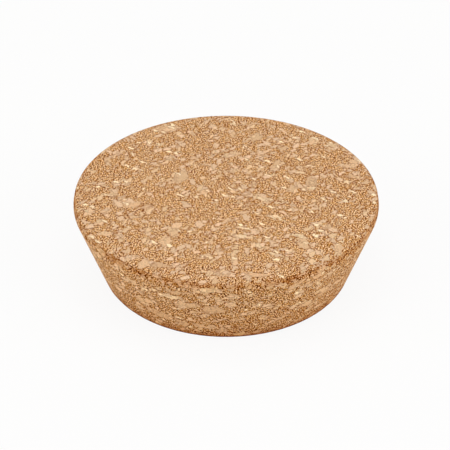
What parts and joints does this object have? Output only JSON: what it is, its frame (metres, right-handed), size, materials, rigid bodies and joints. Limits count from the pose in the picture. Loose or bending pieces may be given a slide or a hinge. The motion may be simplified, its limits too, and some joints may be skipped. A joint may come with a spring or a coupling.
{
  "type": "cork stopper",
  "caption": "Wide tapered stopper of agglomerated cork, ground to a cone below a short upright land, that closes the round mouth of a jar.",
  "frame": {"origin": "centre of the flat base, the narrow end that goes into the jar", "axes": "+Z along the stopper's axis, up to the wide top face; X and Y are interchangeable, because the stopper is round"},
  "size_m": [0.0918, 0.0918, 0.025],
  "materials": {
    "cork": "matte"
  },
  "bodies": {
    "root": {"cork_stopper": "cork"}
  },
  "joints": []
}
